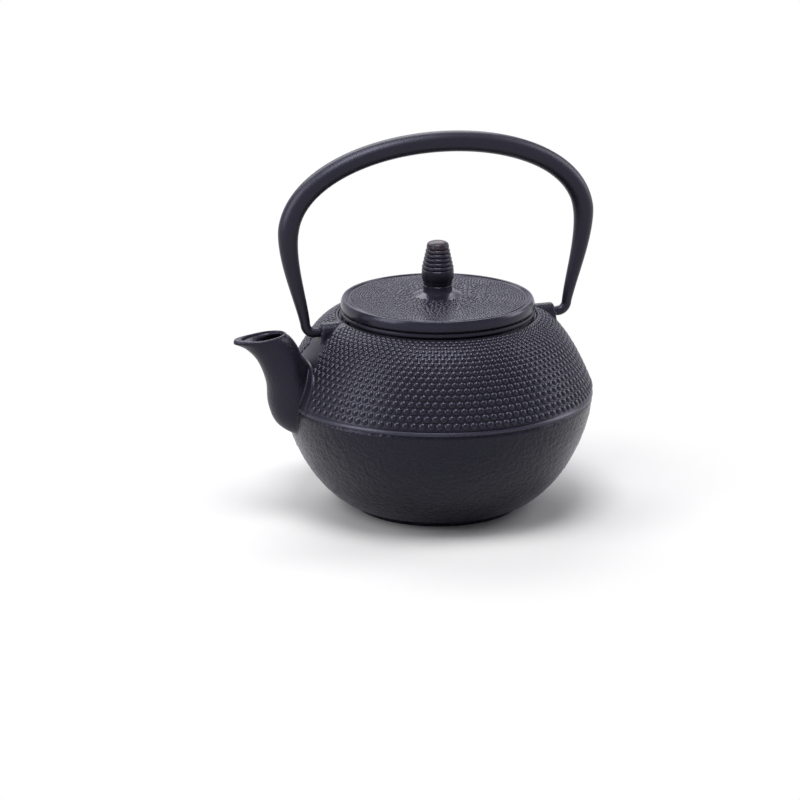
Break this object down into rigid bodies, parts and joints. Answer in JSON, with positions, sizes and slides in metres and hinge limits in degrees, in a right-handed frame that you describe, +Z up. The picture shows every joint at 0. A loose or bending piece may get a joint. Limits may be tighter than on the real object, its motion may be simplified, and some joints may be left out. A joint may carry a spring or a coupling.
{
  "type": "cast iron teapot",
  "caption": "Round cast iron teapot with a hobnail shoulder, curved spout, lift-off lid with a ribbed knob, swinging steel bail and a lift-out tea basket.",
  "frame": {"origin": "where the pot's own axis meets the plane of its foot ring", "axes": "+Z up along the pot's axis, the spout points along -X, and the bail's pins lie along X"},
  "size_m": [0.2038, 0.169, 0.2064],
  "materials": {
    "cast_iron": "semi-gloss blue-black lacquer over cast iron, hobnail dots on the shoulder and a leathery cast skin on the bowl",
    "black_steel": "satin black lacquer on smooth steel bar",
    "stainless": "bright stainless sheet"
  },
  "bodies": {
    "pot": {"pot_body": "cast_iron", "spout": "cast_iron"},
    "lid_set": {"lid": "cast_iron", "knob": "cast_iron", "knob_screw": "stainless", "knob_washer": "stainless"},
    "bail": {"bail_handle": "black_steel"},
    "tea_basket": {"infuser_rim": "stainless", "infuser_wall": "stainless", "infuser_base": "stainless", "infuser_band": "stainless"}
  },
  "joints": [
    {"name": "bail_swing", "type": "hinge", "parent": "pot", "child": "bail", "pos_m": [0, 0, 0.1016], "axis": [1, 0, 0], "range_deg": [-110, 110]},
    {"name": "lid_lift", "type": "slide", "parent": "pot", "child": "lid_set", "axis": [0, 0, 1], "range_m": [0, 0.046]},
    {"name": "infuser_lift", "type": "slide", "parent": "pot", "child": "tea_basket", "axis": [0, 0, 1], "range_m": [0, 0.042]}
  ],
  "couplings": [
    {"joint": "infuser_lift", "follows": "lid_lift", "ratio": 0.9}
  ]
}
